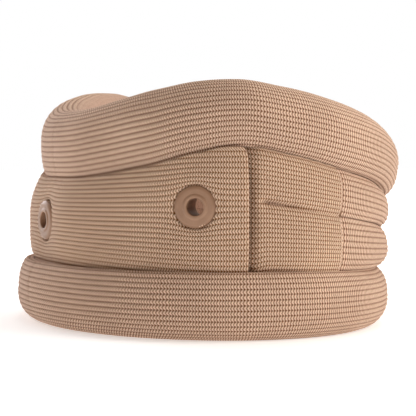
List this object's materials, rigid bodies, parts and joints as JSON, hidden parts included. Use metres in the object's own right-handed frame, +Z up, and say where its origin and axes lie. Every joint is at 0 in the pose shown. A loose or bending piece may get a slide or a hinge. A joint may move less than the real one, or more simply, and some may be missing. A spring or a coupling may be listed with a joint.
{
  "type": "cervical collar",
  "caption": "Soft cervical collar: knit-covered padded rolls round an oval neck opening, a stiffened chin band with vent eyelets and a strap closure at the nape.",
  "frame": {"origin": "middle of the collar's whole box, on the plane that the bottom roll stands on", "axes": "+Z up, -Y towards the chin, +X towards the wearer's left"},
  "size_m": [0.188, 0.1579, 0.0991],
  "materials": {
    "ribbed_knit": "matte",
    "band_knit": "matte",
    "foam_core": "matte",
    "stiffener_plastic": "satin",
    "eyelet_plastic": "satin",
    "strap_webbing": "matte",
    "hook_tape": "matte",
    "loop_tape": "matte"
  },
  "bodies": {
    "front_section": {"bottom_roll_cover_front": "ribbed_knit", "bottom_roll_foam_front": "foam_core", "top_roll_cover_front": "ribbed_knit", "top_roll_foam_front": "foam_core", "middle_panel_cover_front": "ribbed_knit", "middle_panel_foam_front": "foam_core", "support_band_cover": "band_knit", "support_band_stiffener": "stiffener_plastic", "support_band_padding": "foam_core", "eyelet_centre": "eyelet_plastic", "eyelet_washer_centre": "eyelet_plastic", "eyelet_left": "eyelet_plastic", "eyelet_washer_left": "eyelet_plastic", "eyelet_right": "eyelet_plastic", "eyelet_washer_right": "eyelet_plastic"},
    "left_wing": {"bottom_roll_cover_left": "ribbed_knit", "bottom_roll_foam_left": "foam_core", "top_roll_cover_left": "ribbed_knit", "top_roll_foam_left": "foam_core", "rear_lower_roll_cover_left": "ribbed_knit", "rear_lower_roll_foam_left": "foam_core", "rear_upper_roll_cover_left": "ribbed_knit", "rear_upper_roll_foam_left": "foam_core", "side_tab_left": "band_knit", "strap_root": "strap_webbing"},
    "right_wing": {"bottom_roll_cover_right": "ribbed_knit", "bottom_roll_foam_right": "foam_core", "top_roll_cover_right": "ribbed_knit", "top_roll_foam_right": "foam_core", "rear_lower_roll_cover_right": "ribbed_knit", "rear_lower_roll_foam_right": "foam_core", "rear_upper_roll_cover_right": "ribbed_knit", "rear_upper_roll_foam_right": "foam_core", "side_tab_right": "band_knit", "loop_tape": "loop_tape"},
    "closure_strap": {"closure_strap": "strap_webbing", "hook_tape": "hook_tape"}
  },
  "joints": [
    {"name": "left_wing_flex", "type": "hinge", "parent": "front_section", "child": "left_wing", "pos_m": [0.09243, -0.01912, 0], "axis": [0, 0, -1], "range_deg": [0, 45], "stiffness_Nm_per_rad": 0.12},
    {"name": "right_wing_flex", "type": "hinge", "parent": "front_section", "child": "right_wing", "pos_m": [-0.09243, -0.01912, 0], "axis": [0, 0, 1], "range_deg": [0, 45], "stiffness_Nm_per_rad": 0.12},
    {"name": "closure_strap_peel", "type": "hinge", "parent": "left_wing", "child": "closure_strap", "pos_m": [0.0185, 0.07465, 0], "axis": [0, 0, -1], "range_deg": [0, 110]}
  ],
  "couplings": [
    {"joint": "right_wing_flex", "follows": "left_wing_flex", "ratio": 1}
  ]
}
